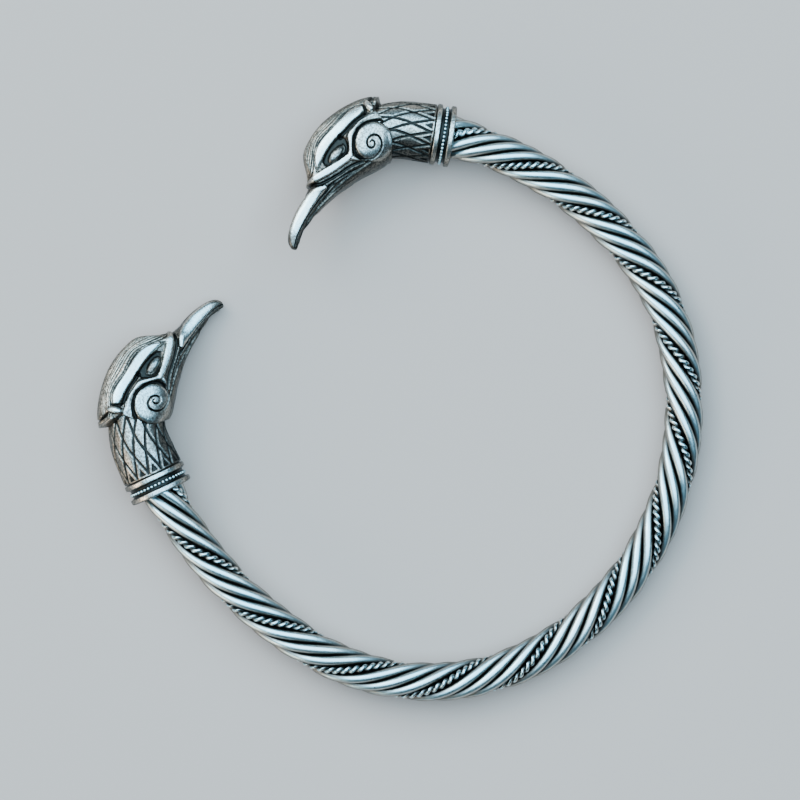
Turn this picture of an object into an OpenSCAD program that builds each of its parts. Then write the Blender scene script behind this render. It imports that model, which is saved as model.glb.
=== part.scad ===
// Viking arm ring: a bar of eight wires twisted round a core, open at the front, with a cast
// bird's head on each end. It lies flat, +Z up, with the opening toward +Y and the origin on
// the surface in the middle of the loop. Seen from above, lengths along the bar run clockwise
// from the right head to the left one.

/* [Ring] */
// Radius of the loop that the bar follows
loop_r = 34; // [31:0.5:40]
// Angle that the bar bends through between its two collars
bar_turn = 229.2; // [222:0.2:234]
// Angle at the middle of the loop from the opening's middle to the right collar
right_at = 58.6; // [55:0.2:62]
// Angle that the bar starts inward of square at the right collar
start_in = 4; // [0:0.5:6]

/* [Twisted bar] */
// Diameter of a plain wire
plain_d = 1.2; // [1.1:0.02:1.3]
// Diameter over a roped wire
rope_d = 1; // [0.9:0.02:1.1]
// Gap between neighbouring wires
wire_gap = 0.06; // [0.05:0.01:0.12]
// Length of one turn of the twist at the right head
lay_right = 20.4; // [18:0.2:22]
// Length of one turn of the twist at the left head
lay_left = 24.6; // [23:0.2:27]
// How far each wire moves outward where it enters a collar
mouth_spread = 0.25; // [0.15:0.05:0.4]

/* [Collar] */
// Diameter over the two ridges
collar_d = 7.7; // [7.6:0.1:8.4]
// Width of the collar along the bar
collar_w = 2.5; // [2.2:0.1:3.2]
// How far the collar reaches over the end of the bar
collar_over = 0.3; // [0.2:0.05:0.5]
// Depth of the beaded band between the ridges
band_sink = 0.45; // [0.3:0.05:0.5]
// Thickness of the beaded ring that lies in the band
bead_d = 0.5; // [0.4:0.05:0.6]
// Depth of the cup that the wires end in
cup_depth = 4.6; // [4:0.2:5]
// Clearance between the wires' ends and the cup
cup_gap = 0.2; // [0.15:0.05:0.3]

/* [Neck] */
// Diameter of the neck behind the collar
neck_d = 7.4; // [7:0.1:7.5]
// Length of the neck from the collar to the head
neck_l = 4.2; // [3.8:0.1:4.6]
// Diameter of the neck where the head begins
nape_d = 7; // [6.6:0.1:7.2]

/* [Head] */
// Reach of the head from the collar's rim to the foremost point of the beak
head_reach = 18.5; // [17.8:0.1:19.2]
// Distance that the beak hangs below the neck's axis
head_drop = 16.7; // [16:0.1:18]
// How much longer the right head's beak is than the left one's
beak_longer = 0.8; // [0:0.1:1.2]
// Width over the two cheeks
head_w = 8.1; // [7.8:0.1:8.8]
// Height of the cast relief
relief = 0.35; // [0.25:0.05:0.45]
// Turn of each head about its neck, one to each side
head_roll = 12; // [6:1:14]
// Turn of the right casting outward from the bar's end
right_out = 4.8; // [3:0.1:7]
// Turn of the left casting inward from the bar's end
left_in = 1.9; // [0:0.1:4]
// How far outward the left neck's axis lies from the bar's
left_out = 0.2; // [0:0.05:0.3]
// Size of the left casting against the right one
left_size = 1.04; // [1:0.01:1.06]

/* [Hidden] */

SILVER = "#b9bec4";
SILVER_ROPE = "#d2d6da";
SILVER_DARK = "#5d6166";

// The loop is five arcs that run into each other. Columns: radius as a share of loop_r, and
// sweep as a share of bar_turn.
RADIUS = 0;
SWEEP = 1;
BAR_ARCS = [[1.23, 0.174],
            [0.77, 0.091],
            [1.04, 0.321],
            [0.84, 0.273],
            [1.46, 0.141]];

// Stations of the head, from the neck to the beak's tip. Columns: the outer edge (along and
// across), the inner edge (along and across), then half the thickness. Lengths along are
// shares of head_reach, those across of head_drop, and the last of half of head_w.
OUT_X = 0;
OUT_Y = 1;
IN_X = 2;
IN_Y = 3;
HALF = 4;
HEAD_STATIONS = [[0.323, 0.214, 0.323, -0.219, 0.88],
                 [0.411, 0.198, 0.371, -0.231, 0.88],
                 [0.506, 0.158, 0.392, -0.256, 0.90],
                 [0.522, 0.201, 0.400, -0.280, 0.93],
                 [0.584, 0.202, 0.429, -0.314, 0.98],
                 [0.666, 0.164, 0.490, -0.369, 1.00],
                 [0.754, 0.098, 0.565, -0.431, 0.96],
                 [0.830, 0.021, 0.635, -0.500, 0.89],
                 [0.899, -0.072, 0.696, -0.567, 0.80],
                 [0.953, -0.190, 0.744, -0.630, 0.70],
                 [0.980, -0.318, 0.785, -0.682, 0.60],
                 [0.940, -0.445, 0.811, -0.725, 0.52],
                 [0.929, -0.536, 0.837, -0.766, 0.45],
                 [0.953, -0.653, 0.860, -0.815, 0.39],
                 [0.987, -0.764, 0.886, -0.869, 0.33],
                 [1.001, -0.883, 0.903, -0.927, 0.26],
                 [0.989, -0.956, 0.910, -0.968, 0.19],
                 [0.953, -0.994, 0.915, -0.997, 0.13]];

// Bands of the relief, seen from the side. Columns: along and across as above, and the
// band's half width as a share of head_w. Each row is a point on the band's middle line.
MID_X = 0;
MID_Y = 1;
BREADTH = 2;
CROWN_BAND = [[0.555, 0.168, 0.072],
              [0.638, 0.166, 0.092],
              [0.731, 0.097, 0.092],
              [0.825, -0.004, 0.092],
              [0.898, -0.111, 0.092],
              [0.943, -0.235, 0.082],
              [0.949, -0.354, 0.070],
              [0.923, -0.433, 0.041]];
BROW_BAND = [[0.643, 0.063, 0.052],
             [0.692, 0.024, 0.067],
             [0.738, -0.048, 0.072],
             [0.786, -0.138, 0.069],
             [0.830, -0.234, 0.057],
             [0.862, -0.323, 0.035]];
BROW_KNOB = [[0.573, 0.063, 0.040],
             [0.614, 0.105, 0.042]];
CHEEK_BAND = [[0.535, 0.045, 0.015],
              [0.581, 0.003, 0.052],
              [0.635, -0.045, 0.052],
              [0.676, -0.114, 0.052],
              [0.692, -0.174, 0.044],
              [0.676, -0.251, 0.035],
              [0.668, -0.317, 0.052],
              [0.716, -0.383, 0.064],
              [0.776, -0.428, 0.064],
              [0.841, -0.473, 0.057],
              [0.911, -0.533, 0.035]];
PLATE_BAND = [[0.481, -0.021, 0.012],
              [0.514, 0.012, 0.035],
              [0.546, 0.036, 0.037]];
// Corners of the nape, along and across as above, up to the groove behind the head
NAPE = [[0.311, -0.263], [0.311, 0.243], [0.508, 0.192], [0.505, 0.102],
        [0.435, -0.021], [0.386, -0.111], [0.373, -0.263]];
JAW_BAND = [[0.406, -0.182, 0.062],
            [0.441, -0.293, 0.081],
            [0.503, -0.368, 0.077],
            [0.581, -0.440, 0.069],
            [0.668, -0.504, 0.064],
            [0.738, -0.590, 0.054],
            [0.792, -0.677, 0.044],
            [0.842, -0.769, 0.037],
            [0.886, -0.868, 0.033],
            [0.906, -0.964, 0.025],
            [0.908, -1.030, 0.020]];
BILL_BAND = [[0.851, -0.584, 0.074],
             [0.895, -0.641, 0.126],
             [0.938, -0.746, 0.123],
             [0.973, -0.860, 0.094],
             [0.973, -0.950, 0.067],
             [0.950, -1.000, 0.049],
             [0.930, -1.048, 0.044]];
EYE_BAND = [[0.743, -0.257, 0.019],
            [0.770, -0.305, 0.037],
            [0.797, -0.359, 0.019]];
// Row of the head's table where the longer beak begins to differ
BEAK_FROM = 12;
// Middle of the cheek's round boss, and its radius as a share of head_w
CHEEK = [0.532, -0.177];
CHEEK_R = 0.286;
// The curl is a groove that winds in from the boss's edge: its middle, the angle that it
// starts at and winds through, then its first and last radius and its width as shares of the
// boss's radius
CURL = [0.538, -0.196];
CURL_FROM = 289;
CURL_SWEEP = 460;
CURL_OUT = 0.88;
CURL_IN = 0.08;
CURL_W = 0.11;
// How much faster the curl winds in near its start than near its end
CURL_HASTE = 0.7;

// Fineness of the faceted shapes
WIRE_SIDES = 6;
RINGS_PER_TURN = 10;
CORE_SIDES = 6;
CORE_RINGS = 37;
HEAD_SIDES = 16;
ROUND_SIDES = 24;
CURL_STEPS = 12;

function unit(v) = v / norm(v);

// Lengths along the bar, and the wires' places in its section
function arc_r(i) = BAR_ARCS[i][RADIUS] * loop_r;
function arc_turn(i) = BAR_ARCS[i][SWEEP] * bar_turn;
function arc_len(i) = arc_r(i) * arc_turn(i) * PI / 180;
function sum_to(i) = i < 0 ? 0 : arc_len(i) + sum_to(i - 1);
LAST_ARC = len(BAR_ARCS) - 1;
bar_len = sum_to(LAST_ARC);

// Half the band of wires and gaps counted round the bar, from the middle of one roped wire
// to the middle of the other
SIDE_WIRES = 3;
half_band = SIDE_WIRES * plain_d + rope_d + (SIDE_WIRES + 1) * wire_gap;
// The chords between wires are shorter than the arcs by about this share
CHORD = 1.03;
lay_band = 2 * half_band * CHORD;
lay_round = lay_band * lay_right / sqrt(pow(lay_right, 2) - pow(lay_band, 2));
wire_r = lay_round / (2 * PI);
plain_step = 180 * (plain_d + wire_gap) / half_band;
core_d = 2 * (wire_r * cos(180 / RINGS_PER_TURN) - plain_d / 2 - wire_gap);
bundle_r = wire_r + mouth_spread + plain_d / 2;
cup_r = bundle_r + cup_gap;
seat_l = cup_depth - cup_gap - plain_d / 2;
mouth_l = 2 * plain_d + collar_w;

// One step along an arc that bends clockwise: place is [x, y, heading]
function arc_step(place, r, d) =
    let (turn = d / r * 180 / PI, to = place[2] - turn)
    [place[0] + r * (sin(place[2]) - sin(to)),
     place[1] + r * (cos(to) - cos(place[2])),
     to];
function walk(place, d, i) =
    i == LAST_ARC || d <= arc_len(i)
        ? arc_step(place, arc_r(i), d)
        : walk(arc_step(place, arc_r(i), arc_len(i)), d - arc_len(i), i + 1);
bar_start = [loop_r * sin(right_at), loop_r * cos(right_at), -right_at - start_in];
bar_end = walk(bar_start, bar_len, 0);
// Within the cups the bar runs straight
function straight(place, d) = [place[0] + d * cos(place[2]), place[1] + d * sin(place[2]), place[2]];
function bar_at(d) =
    d < 0 ? straight(bar_start, d)
          : d > bar_len ? straight(bar_end, d - bar_len) : walk(bar_start, d, 0);

// Turn of the twist in degrees at a length along the bar, whose lay grows evenly
lay_growth = (lay_left - lay_right) / bar_len;
function twist(d) = 360 / lay_growth * ln(1 + lay_growth * d / lay_right);

// Wires move outward over the last stretch before each collar
function ease(x) = let (c = min(1, max(0, x))) c * c * (3 - 2 * c);
function spread(d) = mouth_spread * (ease(1 - d / mouth_l) + ease(1 - (bar_len - d) / mouth_l));

// A point beside the bar's middle line: out from the loop, and up
function beside(d, out, up) =
    let (p = bar_at(d))
    [p[0] - out * sin(p[2]), p[1] + out * cos(p[2]), up];
function wire_mid(d, r, phase) =
    let (a = 90 + phase - twist(d), q = r + spread(d))
    beside(d, q * cos(a), q * sin(a));

// The ring lies on three points at different depths, so it rests a little tipped and leant:
// the left head's jaw, the right collar's rim and the back of the bar. The first and the last
// are placed from the middle of the loop, in shares of loop_r. The jaw's point lies below the
// neck's axis by a share of head_w and beside it by a share of head_drop.
JAW_PLACE = [-0.59, 0.73];
JAW_LOW = 0.42;
JAW_BESIDE = 0.33;
BACK_PLACE = [0.43, -0.945];
left_low = left_size * (JAW_LOW * head_w * cos(head_roll) + JAW_BESIDE * head_drop * sin(head_roll));
rest_left = [JAW_PLACE[0] * loop_r, JAW_PLACE[1] * loop_r, -left_low];
rest_right = [bar_start[0], bar_start[1], -collar_d / 2];
rest_back = [BACK_PLACE[0] * loop_r, BACK_PLACE[1] * loop_r, -wire_r - plain_d / 2];
rest_up = unit(cross(rest_left - rest_back, rest_left - rest_right));
rest_tip = atan(rest_up[1] / rest_up[2]);
rest_lean = -asin(rest_up[0]);
rest_lift = -rest_up * rest_left;

// Ring of points round a wire at a length along the bar
FINE = 0.01;
CUT = 1;
function wire_ring(d, r, phase, wire, sides) =
    let (mid = wire_mid(d, r, phase),
         ahead = unit(wire_mid(d + FINE, r, phase) - wire_mid(d - FINE, r, phase)),
         bar = beside(d, 0, 0),
         side = r > 0 ? unit(cross(ahead, unit(mid - bar))) : unit(cross(ahead, [0, 0, 1])),
         up = cross(side, ahead))
    [for (k = [0:sides - 1])
        mid + wire / 2 * (up * cos(360 * k / sides) + side * sin(360 * k / sides))];

// Skin over a row of rings with as many points each, closed at both ends
module skin(rings) {
    n = len(rings[0]);
    m = len(rings);
    points = [for (ring = rings) each ring];
    sides = [for (i = [0:m - 2], k = [0:n - 1])
                let (here = i * n + k, next = i * n + (k + 1) % n)
                each [[here, here + n, next + n], [here, next + n, next]]];
    first = [for (k = [0:n - 1]) k];
    last = [for (k = [n - 1:-1:0]) (m - 1) * n + k];
    polyhedron(points, concat(sides, [first, last]), convexity = 8);
}

// Lays the ring down as it rests
module resting() {
    translate([0, 0, rest_lift]) rotate([rest_tip, rest_lean, 0]) children();
}

module wire(r, phase, d, sides, rings) {
    from = -seat_l;
    to = bar_len + seat_l;
    resting()
        skin([for (i = [0:rings])
                wire_ring(from + (to - from) * i / rings, r, phase, d, sides)]);
}

wire_rings = ceil((twist(bar_len + seat_l) - twist(-seat_l)) / 360 * RINGS_PER_TURN);

// Three plain wires lie on each side of the bar between the two roped ones
module plain_wire(i) {
    group = i <= SIDE_WIRES ? 90 : 270;
    place = (i - 1) % SIDE_WIRES - 1;
    color(SILVER) wire(wire_r, group + place * plain_step, plain_d, WIRE_SIDES, wire_rings);
}

module rope_wire(i) {
    color(SILVER_ROPE) wire(wire_r, 180 * (i - 1), rope_d, WIRE_SIDES, wire_rings);
}

module core_wire() {
    color(SILVER_DARK) wire(0, 0, core_d, CORE_SIDES, CORE_RINGS);
}

// The casting lies with its neck along +X from the collar's rim, the beak toward -Y

// Width of a ridge as a share of the collar's, and the rounding of its edges as a share of its
// own width
RIDGE = 0.3;
SOFT = 0.25;

// Collar and neck turned in one, up to the nape
module collar_and_neck() {
    r = collar_d / 2;
    ridge = collar_w * RIDGE;
    soft = ridge * SOFT;
    rotate([0, 90, 0])
        rotate_extrude($fn = ROUND_SIDES)
        polygon([[0, 0], [r - soft, 0], [r, soft], [r, ridge - soft],
                 [r - band_sink, ridge],
                 [r - band_sink, (collar_w - bead_d) / 2],
                 [r - band_sink + bead_d / 2, collar_w / 2 - bead_d / 4],
                 [r - band_sink + bead_d / 2, collar_w / 2 + bead_d / 4],
                 [r - band_sink, (collar_w + bead_d) / 2],
                 [r - band_sink, collar_w - ridge],
                 [r, collar_w - ridge + soft], [r, collar_w - soft],
                 [neck_d / 2, collar_w + soft], [nape_d / 2, collar_w + neck_l],
                 [0, collar_w + neck_l]]);
}

// One station's ring, a squarish oval, shrunk all round by the relief's height for the ground
// but never below the least share of its size. The last stations move on along a longer beak.
SQUARE = 0.88;
LEAST = 0.3;
BEAK_TIP = len(HEAD_STATIONS) - 1;
function signed_pow(v, e) = (v < 0 ? -1 : 1) * pow(abs(v), e);
function outer_at(i) = [HEAD_STATIONS[i][OUT_X] * head_reach, HEAD_STATIONS[i][OUT_Y] * head_drop];
function inner_at(i) = [HEAD_STATIONS[i][IN_X] * head_reach, HEAD_STATIONS[i][IN_Y] * head_drop];
function middle_at(i) = (outer_at(i) + inner_at(i)) / 2;
beak_way = unit(middle_at(BEAK_TIP) - middle_at(BEAK_FROM));
function station_ring(i, sunk, longer) =
    let (on = longer * max(0, i - BEAK_FROM) / (BEAK_TIP - BEAK_FROM),
         mid = middle_at(i) + on * beak_way,
         arm = (outer_at(i) - inner_at(i)) / 2,
         thick = HEAD_STATIONS[i][HALF] * head_w / 2,
         short = max(LEAST, 1 - sunk / norm(arm)),
         half = thick * max(LEAST, 1 - sunk / thick))
    [for (k = [0:HEAD_SIDES - 1])
        let (a = 360 * k / HEAD_SIDES,
             u = signed_pow(cos(a), SQUARE) * short,
             v = signed_pow(sin(a), SQUARE) * half)
        [mid[0] + arm[0] * u, mid[1] + arm[1] * u, v]];

module head_form(sunk, longer) {
    skin([for (i = [0:BEAK_TIP]) station_ring(i, sunk, longer)]);
}

// A band of the relief as a flat outline: up one side of its middle line, down the other,
// with a point at each end
function band_mid(row) = [row[MID_X] * head_reach, row[MID_Y] * head_drop];
function band_way(band, i) =
    let (to = min(i + 1, len(band) - 1), from = max(i - 1, 0))
    unit(band_mid(band[to]) - band_mid(band[from]));
function band_side(band, i, side) =
    let (way = band_way(band, i))
    band_mid(band[i]) + side * band[i][BREADTH] * head_w * [-way[1], way[0]];
function band_tip(band, i, side) =
    band_mid(band[i]) + side * band[i][BREADTH] * head_w * band_way(band, i);

module stroke(band) {
    last = len(band) - 1;
    polygon(concat([band_tip(band, 0, -1)],
                   [for (i = [0:last]) band_side(band, i, -1)],
                   [band_tip(band, last, 1)],
                   [for (i = [last:-1:0]) band_side(band, i, 1)]));
}

function curl_at(turned, side) =
    let (r = CHEEK_R * head_w,
         a = CURL_FROM - CURL_SWEEP * turned,
         reach = r * (CURL_OUT + (CURL_IN - CURL_OUT) * pow(turned, CURL_HASTE) + side * CURL_W / 2))
    band_mid(CURL) + reach * [cos(a), sin(a)];

module cheek_outline() {
    difference() {
        translate(band_mid(CHEEK)) circle(r = CHEEK_R * head_w, $fn = ROUND_SIDES);
        polygon(concat([for (i = [0:CURL_STEPS]) curl_at(i / CURL_STEPS, 1)],
                       [for (i = [CURL_STEPS:-1:0]) curl_at(i / CURL_STEPS, -1)]));
    }
}

module relief_outline() {
    stroke(CROWN_BAND);
    stroke(BROW_BAND);
    stroke(BROW_KNOB);
    stroke(CHEEK_BAND);
    stroke(PLATE_BAND);
    polygon([for (corner = NAPE) band_mid(corner)]);
    stroke(JAW_BAND);
    stroke(BILL_BAND);
    stroke(EYE_BAND);
    cheek_outline();
}

module relief_bands(longer) {
    intersection() {
        head_form(0, longer);
        linear_extrude(height = head_w + 2 * CUT, center = true) relief_outline();
    }
}

module casting(longer) {
    collar_and_neck();
    head_form(relief, longer);
    relief_bands(longer);
}

// The cup in a collar lies along the end of the bar, which it holds
module cup() {
    translate([-CUT, 0, 0])
        rotate([0, 90, 0])
            cylinder(h = cup_depth + CUT, r = cup_r, $fn = ROUND_SIDES);
}

// Stands its children on an end of the bar, along +X
module at_end(place, turned) {
    translate([place[0], place[1], 0]) rotate([0, 0, place[2] + turned]) children();
}

// Each casting on its end of the bar, turned a little about its neck
module right_head() {
    place = bar_at(0);
    color(SILVER)
        resting()
            difference() {
                at_end(place, 180 + right_out)
                    mirror([0, 1, 0])
                        rotate([-head_roll, 0, 0])
                            translate([-collar_over, 0, 0]) casting(beak_longer);
                at_end(place, 180) cup();
            }
}

module left_head() {
    place = bar_at(bar_len);
    color(SILVER)
        resting()
            difference() {
                at_end(place, -left_in)
                    rotate([head_roll, 0, 0])
                        translate([-collar_over, left_out, 0]) scale(left_size) casting(0);
                at_end(place, 0) cup();
            }
}

right_head();
left_head();
plain_wire(1);  // plain_wire_1
plain_wire(2);  // plain_wire_2
plain_wire(3);  // plain_wire_3
plain_wire(4);  // plain_wire_4
plain_wire(5);  // plain_wire_5
plain_wire(6);  // plain_wire_6
rope_wire(1);  // rope_wire_1
rope_wire(2);  // rope_wire_2
core_wire();
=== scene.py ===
"""Looks of the twisted silver arm ring: polished and darkened wires, two cast birds' heads."""

import math

import bmesh
import bpy
import numpy as np
from mathutils import Matrix, Vector


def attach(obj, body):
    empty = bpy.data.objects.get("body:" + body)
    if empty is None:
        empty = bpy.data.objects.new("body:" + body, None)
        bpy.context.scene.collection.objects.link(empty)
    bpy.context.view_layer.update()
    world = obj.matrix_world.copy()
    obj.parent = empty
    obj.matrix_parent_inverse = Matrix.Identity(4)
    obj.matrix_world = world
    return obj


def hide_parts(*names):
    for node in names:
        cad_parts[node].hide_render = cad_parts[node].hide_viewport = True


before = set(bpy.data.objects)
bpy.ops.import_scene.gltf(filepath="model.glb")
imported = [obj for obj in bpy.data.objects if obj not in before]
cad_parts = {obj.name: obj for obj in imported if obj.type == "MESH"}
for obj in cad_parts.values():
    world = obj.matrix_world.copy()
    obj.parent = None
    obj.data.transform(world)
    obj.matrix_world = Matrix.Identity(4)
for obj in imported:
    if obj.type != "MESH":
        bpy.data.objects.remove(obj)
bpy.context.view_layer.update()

MM = 0.001

# ---- Sizes of the ring in millimetres and degrees, as its solids have them ----
LOOP_R = 34.0
BAR_TURN = 229.2
RIGHT_AT = 58.6
START_IN = 4.0
PLAIN_D = 1.2
ROPE_D = 1.0
WIRE_GAP = 0.06
LAY_RIGHT = 20.4
LAY_LEFT = 24.6
MOUTH_SPREAD = 0.25
COLLAR_D = 7.7
COLLAR_W = 2.5
COLLAR_OVER = 0.3
# Where the collar's rim lies in the casting's own lengths
COLLAR_FROM = -0.15
CUP_DEPTH = 4.6
CUP_GAP = 0.2
HEAD_W = 8.1
HEAD_DROP = 16.7
HEAD_ROLL = 12.0
RIGHT_OUT = 4.8
LEFT_IN = 1.9
LEFT_OUT = 0.2
LEFT_SIZE = 1.04
BEAK_LONGER = 0.8
BEAK_FROM = 12
# The ring rests on a jaw and on the bar's back, placed in shares of LOOP_R from the loop's middle.
# The jaw's point lies below the neck's axis by a share of HEAD_W, beside it by one of HEAD_DROP
JAW_PLACE = (-0.59, 0.73)
JAW_LOW = 0.42
JAW_BESIDE = 0.33
BACK_PLACE = (0.43, -0.945)
# Radius as a share of LOOP_R and sweep as a share of BAR_TURN of the five arcs
BAR_ARCS = ((1.23, 0.174), (0.77, 0.091), (1.04, 0.321), (0.84, 0.273), (1.46, 0.141))

SIDE_WIRES = 3
# The chords between wires are shorter than the arcs by about this share
CHORD = 1.03
HALF_BAND = SIDE_WIRES * PLAIN_D + ROPE_D + (SIDE_WIRES + 1) * WIRE_GAP
LAY_BAND = 2 * HALF_BAND * CHORD
WIRE_R = LAY_BAND * LAY_RIGHT / math.sqrt(LAY_RIGHT**2 - LAY_BAND**2) / (2 * math.pi)
PLAIN_STEP = 180 * (PLAIN_D + WIRE_GAP) / HALF_BAND
CUP_R = WIRE_R + MOUTH_SPREAD + PLAIN_D / 2 + CUP_GAP
SEAT_L = CUP_DEPTH - CUP_GAP - PLAIN_D / 2
MOUTH_L = 2 * PLAIN_D + COLLAR_W


# ---- The bar's line, the twist and the way the ring lies ----
def bar_stations():
    """Length, place and heading where each arc starts, and its radius; the last row is the end."""
    rows, d = [], 0.0
    x, y = LOOP_R * math.sin(math.radians(RIGHT_AT)), LOOP_R * math.cos(math.radians(RIGHT_AT))
    h = math.radians(-RIGHT_AT - START_IN)
    for share, sweep in BAR_ARCS:
        r, turn = share * LOOP_R, math.radians(sweep * BAR_TURN)
        rows.append((d, x, y, h, r))
        x += r * (math.sin(h) - math.sin(h - turn))
        y += r * (math.cos(h - turn) - math.cos(h))
        d, h = d + r * turn, h - turn
    rows.append((d, x, y, h, 0.0))
    return rows


BAR = bar_stations()
BAR_LEN = BAR[-1][0]


def bar_at(d):
    """Place and heading at lengths along the bar, straight beyond both of its ends."""
    d = np.asarray(d, float)
    row = np.clip(np.searchsorted([b[0] for b in BAR], d, side="right") - 1, 0, len(BAR) - 1)
    d0, x, y, h, r = np.array(BAR).T[:, row]
    ahead = d - d0
    straight = (r == 0) | (d < 0)
    r = np.where(straight, 1.0, r)
    to = np.where(straight, h, h - ahead / r)
    x = x + np.where(straight, ahead * np.cos(h), r * (np.sin(h) - np.sin(to)))
    y = y + np.where(straight, ahead * np.sin(h), r * (np.cos(to) - np.cos(h)))
    return x, y, to


def twist(d):
    """Turn of the wires round the bar at lengths along it, in radians."""
    growth = (LAY_LEFT - LAY_RIGHT) / BAR_LEN
    return 2 * math.pi / growth * np.log(1 + growth * d / LAY_RIGHT)


def ease(x):
    """0 below 0, 1 above 1, smooth between them."""
    c = np.clip(x, 0, 1)
    return c * c * (3 - 2 * c)


def fade(low, high, x):
    """0 below low, 1 above high, smooth between them."""
    return ease((x - low) / (high - low))


def unit(v):
    return v / np.linalg.norm(v, axis=-1, keepdims=True)


def beside(d, out, up):
    """Points at lengths along the bar, out to its left and up from its middle."""
    x, y, h = bar_at(d)
    return np.stack([x - out * np.sin(h), y + out * np.cos(h), up + 0 * x], -1)


def wire_mid(d, r, phase):
    """Middle of a wire wound at radius r, spread a little where it runs into the collars."""
    a = math.radians(90 + phase) - twist(d)
    q = r + MOUTH_SPREAD * (ease(1 - d / MOUTH_L) + ease(1 - (BAR_LEN - d) / MOUTH_L))
    return beside(d, q * np.cos(a), q * np.sin(a))


def rest_turn():
    """The turn and lift that lay the ring on the left jaw, the right rim and the bar's back."""
    roll = math.radians(HEAD_ROLL)
    below, aside = JAW_LOW * HEAD_W, JAW_BESIDE * HEAD_DROP
    low = LEFT_SIZE * (below * math.cos(roll) + aside * math.sin(roll))
    left = Vector((JAW_PLACE[0] * LOOP_R, JAW_PLACE[1] * LOOP_R, -low))
    right = Vector((BAR[0][1], BAR[0][2], -COLLAR_D / 2))
    back = Vector((BACK_PLACE[0] * LOOP_R, BACK_PLACE[1] * LOOP_R, -WIRE_R - PLAIN_D / 2))
    up = (left - back).cross(left - right).normalized()
    tip, lean = math.atan(up.y / up.z), -math.asin(up.x)
    turn = Matrix.Rotation(lean, 3, "Y") @ Matrix.Rotation(tip, 3, "X")
    return np.array(turn), -up.dot(left)


REST_TURN, REST_LIFT = rest_turn()


def lay_down(points):
    """Points of the level ring, laid down as it rests."""
    return points @ REST_TURN.T + np.array([0, 0, REST_LIFT])


def turned(points, axis, degrees):
    return points @ np.array(Matrix.Rotation(math.radians(degrees), 3, axis)).T


def at_end(points, d, degrees):
    """Points along +X stood on the bar at length d, turned by degrees from its heading."""
    x, y, h = bar_at(d)
    return turned(points, "Z", math.degrees(float(h)) + degrees) + np.array([float(x), float(y), 0])


def place_casting(points, side):
    """Points of the casting, with its neck along +X, put on the right or left end of the bar."""
    points = points - np.array([COLLAR_FROM, 0, 0])
    if side == "right":
        points = turned(points - np.array([COLLAR_OVER, 0, 0]), "X", -HEAD_ROLL)
        return lay_down(at_end(points * np.array([1, -1, 1]), 0.0, 180 + RIGHT_OUT))
    points = points * LEFT_SIZE + np.array([-COLLAR_OVER, LEFT_OUT, 0])
    return lay_down(at_end(turned(points, "X", HEAD_ROLL), BAR_LEN, -LEFT_IN))


# ---- Making pieces ----
def rod(sides, rings):
    """A straight rod of radius 1 from z 0 to 1, in rings of vertices and closed at both ends."""
    bm = bmesh.new()
    bmesh.ops.create_cone(bm, cap_ends=True, segments=sides, radius1=1, radius2=1, depth=1,
                          matrix=Matrix.Translation((0, 0, 0.5)))
    long_edges = [e for e in bm.edges if abs(e.verts[0].co.z - e.verts[1].co.z) > 0.5]
    bmesh.ops.subdivide_edges(bm, edges=long_edges, cuts=rings - 1, use_grid_fill=True)
    return bm


def rod_grid(bm, sides):
    """The rod's vertices in order round and along it: their numbers, as rings by sides."""
    co = np.array([v.co for v in bm.verts])
    ring = np.round(co[:, 2] * (len(co) / sides - 1)).astype(int)
    round_it = np.round(np.arctan2(co[:, 1], co[:, 0]) / (2 * math.pi) * sides).astype(int) % sides
    return np.lexsort((round_it, ring)).reshape(-1, sides)


def set_places(bm, points):
    for vert, point in zip(bm.verts, points * MM):
        vert.co = point


def finish_piece(bm, name, material, nodes, masks, flip=False):
    """Makes the piece's object, with its masks as attributes, riding the ring.

    A mirrored piece has its faces flipped, so that they point outward again."""
    if flip:
        bmesh.ops.reverse_faces(bm, faces=bm.faces)
    mesh = bpy.data.meshes.new(name)
    bm.to_mesh(mesh)
    bm.free()
    for mask, values in masks.items():
        attribute = mesh.attributes.new(mask, "FLOAT", "POINT")
        attribute.data.foreach_set("value", np.ascontiguousarray(values, np.float32))
    mesh.polygons.foreach_set("use_smooth", [True] * len(mesh.polygons))
    mesh.materials.append(material)
    piece = bpy.data.objects.new(name, mesh)
    bpy.context.scene.collection.objects.link(piece)
    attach(piece, "root")
    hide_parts(*nodes)


# How much warmer the steep flanks are painted, as a painted warm side light
FLANK_LIGHT_TINT = 0.85


def painted_flank_shade(worn, warmth, facing, least):
    """The masks with painted light: faces that point up or down keep their brightness, while steep
    flanks are painted darker as shade and warmer as a warm side light.
    """
    broad = fade(0.25, 0.85, np.abs(facing))
    steep = 1 - fade(0.45, 0.95, np.abs(facing))
    return {"worn": worn * (least + (1 - least) * broad),
            "warmth": np.clip(warmth + FLANK_LIGHT_TINT * steep, 0, 1)}


# ---- Finishes ----
def new_group(name, inputs, outputs):
    """A shader node group with the named sockets, and its input and output nodes."""
    tree = bpy.data.node_groups.new(name, "ShaderNodeTree")
    for label, kind, value in inputs:
        socket = tree.interface.new_socket(name=label, in_out="INPUT", socket_type=kind)
        socket.default_value = value
    for label, kind in outputs:
        tree.interface.new_socket(name=label, in_out="OUTPUT", socket_type=kind)
    return tree, tree.nodes.new("NodeGroupInput"), tree.nodes.new("NodeGroupOutput")


FLOAT = "NodeSocketFloat"
COLOR = "NodeSocketColor"
VECTOR = "NodeSocketVector"


def node(tree, kind, settings=None, **sockets):
    """Adds a node. Its sockets take a value or another node's output.

    They are given by name, or by number after the letter i."""
    made = tree.nodes.new(kind)
    for key, value in (settings or {}).items():
        setattr(made, key, value)
    for key, value in sockets.items():
        numbered = key[0] == "i" and key[1:].isdigit()
        socket = made.inputs[int(key[1:]) if numbered else key]
        if isinstance(value, bpy.types.NodeSocket):
            tree.links.new(value, socket)
        else:
            socket.default_value = value
    return made


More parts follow.
